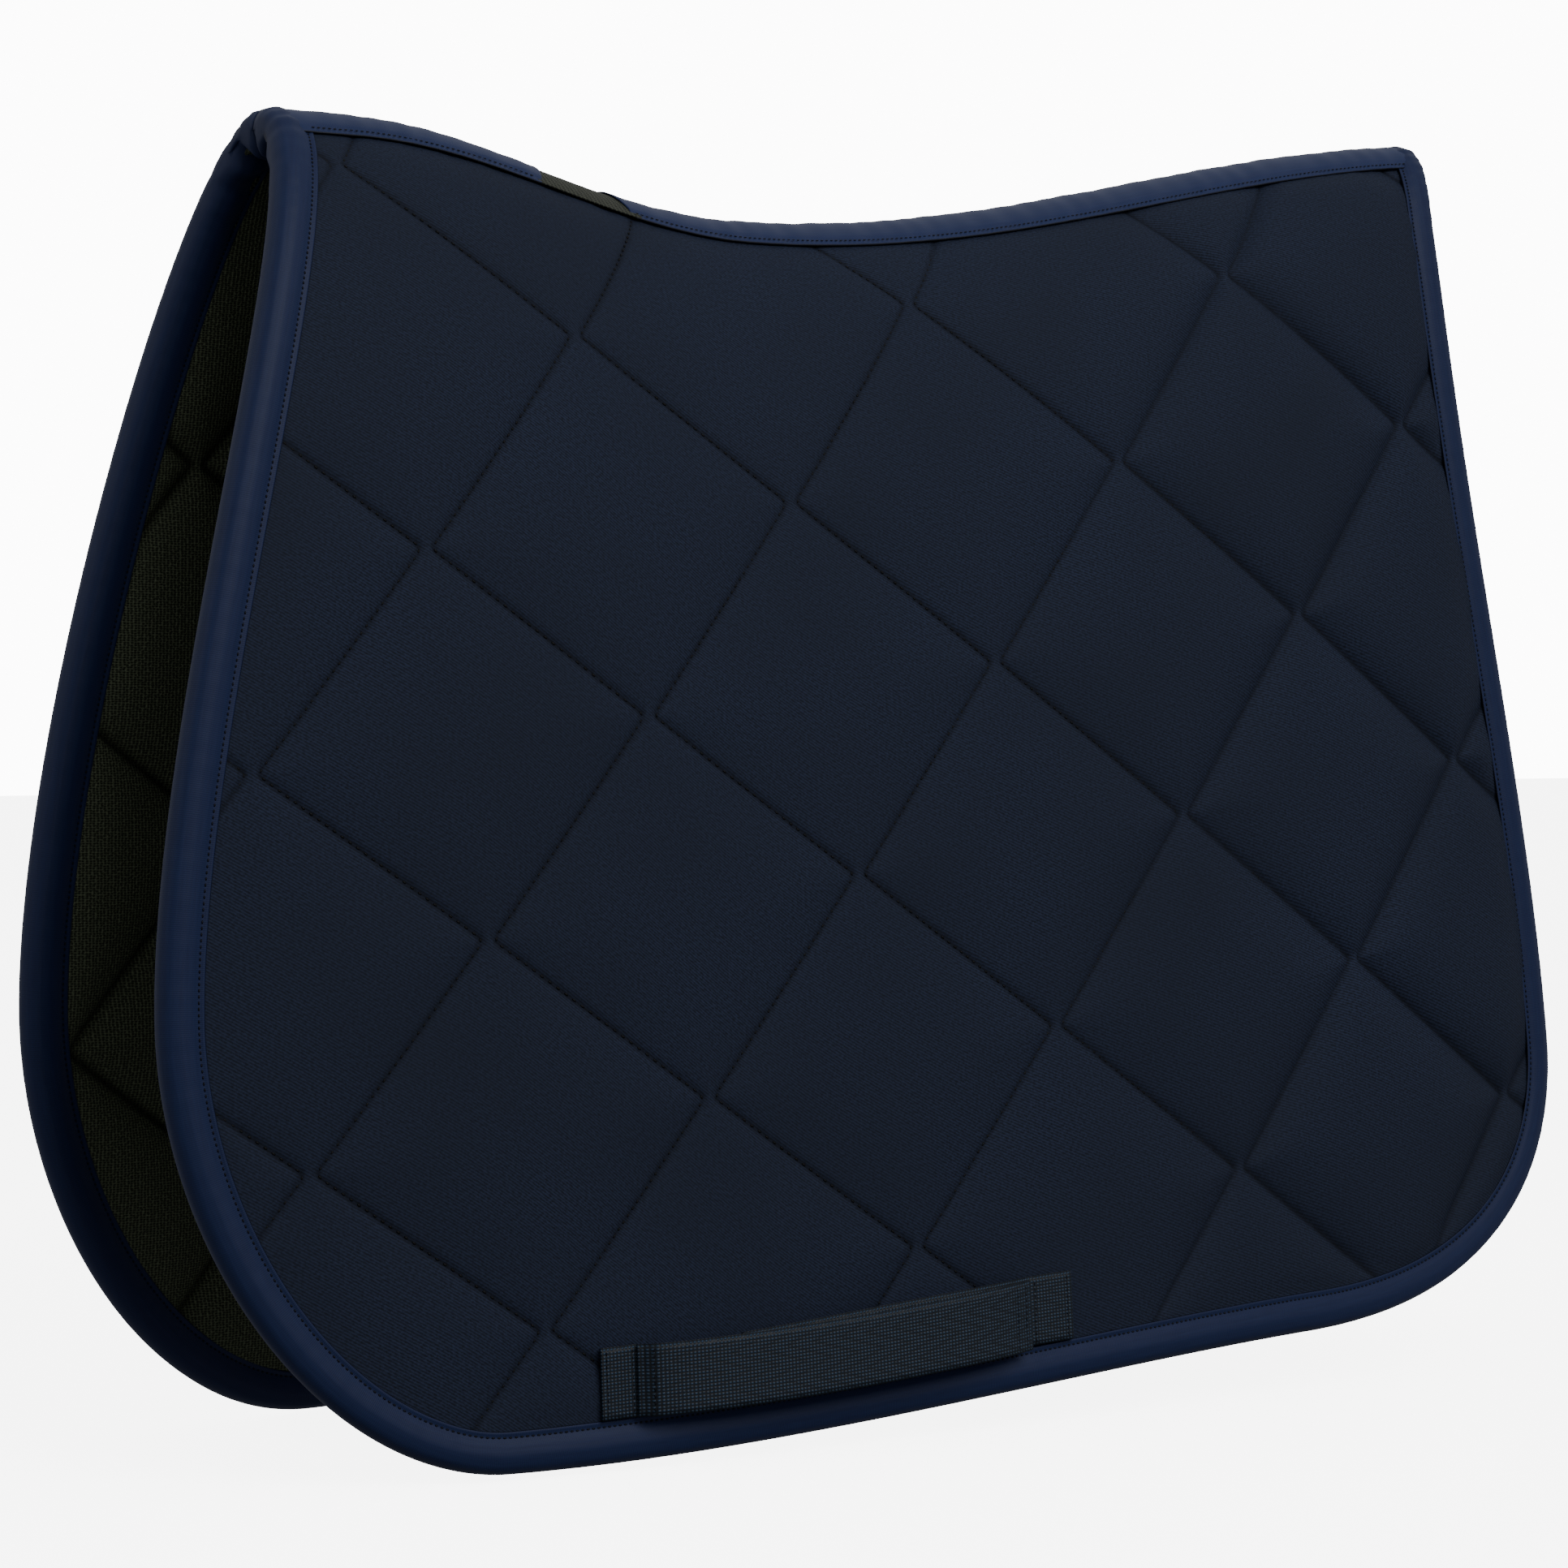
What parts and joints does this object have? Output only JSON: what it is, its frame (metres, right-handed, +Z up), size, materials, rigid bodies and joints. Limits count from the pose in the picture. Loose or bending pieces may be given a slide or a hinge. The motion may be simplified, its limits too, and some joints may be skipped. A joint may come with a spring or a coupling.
{
  "type": "quilted saddle pad",
  "caption": "Quilted saddle pad with flaps that fold at a curved spine, satin edge binding, a mesh vent at the withers and opening girth keeper straps.",
  "frame": {"origin": "underside of the spine at its lowest point, where the pad rests on the horse's back or a saddle rack", "axes": "+X towards the rear along the spine, -Y the left flap, +Y the right flap, +Z up"},
  "size_m": [0.6679, 0.2412, 0.5431],
  "materials": {
    "shell_fabric": "matte very dark navy brushed fabric, quilted in large diamonds",
    "quilt_foam": "white polyester foam and wadding",
    "spacer_lining": "green-black spacer-mesh knit",
    "satin_binding": "navy satin twill tape with a soft sheen",
    "vent_mesh": "olive-grey open mesh",
    "keeper_webbing": "dark teal-navy herringbone webbing",
    "hook_and_loop": "black hook-and-loop tape"
  },
  "bodies": {
    "spine": {"spine_tape_front": "satin_binding", "spine_tape_rear": "satin_binding", "withers_mesh_insert": "vent_mesh", "spine_foam": "quilt_foam", "spine_lining_tape": "satin_binding", "front_bridge_binding": "satin_binding", "rear_bridge_binding": "satin_binding"},
    "left_flap": {"left_shell_panel": "shell_fabric", "left_foam_core": "quilt_foam", "left_lining_panel": "spacer_lining", "left_edge_binding": "satin_binding", "left_keeper_front_tab": "keeper_webbing", "left_keeper_base_strap": "keeper_webbing", "left_keeper_loop_tape": "hook_and_loop"},
    "left_keeper": {"left_keeper_top_strap": "keeper_webbing", "left_keeper_hook_tape": "hook_and_loop"},
    "right_flap": {"right_shell_panel": "shell_fabric", "right_foam_core": "quilt_foam", "right_lining_panel": "spacer_lining", "right_edge_binding": "satin_binding", "right_keeper_front_tab": "keeper_webbing", "right_keeper_base_strap": "keeper_webbing", "right_keeper_loop_tape": "hook_and_loop"},
    "right_keeper": {"right_keeper_top_strap": "keeper_webbing", "right_keeper_hook_tape": "hook_and_loop"}
  },
  "joints": [
    {"name": "left_flap_fold", "type": "hinge", "parent": "spine", "child": "left_flap", "pos_m": [0.0735, 0, 0.06148], "axis": [-0.9991, 0, -0.0433], "range_deg": [-6, 80]},
    {"name": "right_flap_fold", "type": "hinge", "parent": "spine", "child": "right_flap", "pos_m": [0.0735, 0, 0.06148], "axis": [0.9991, 0, 0.0433], "range_deg": [-6, 80]},
    {"name": "left_keeper_open", "type": "hinge", "parent": "left_flap", "child": "left_keeper", "pos_m": [-0.09898, -0.1044, -0.44104], "axis": [-0.0012, -0.0568, -0.9984], "range_deg": [0, 150]},
    {"name": "right_keeper_open", "type": "hinge", "parent": "right_flap", "child": "right_keeper", "pos_m": [-0.09898, 0.1044, -0.44104], "axis": [0.0012, -0.0568, 0.9984], "range_deg": [0, 150]}
  ]
}
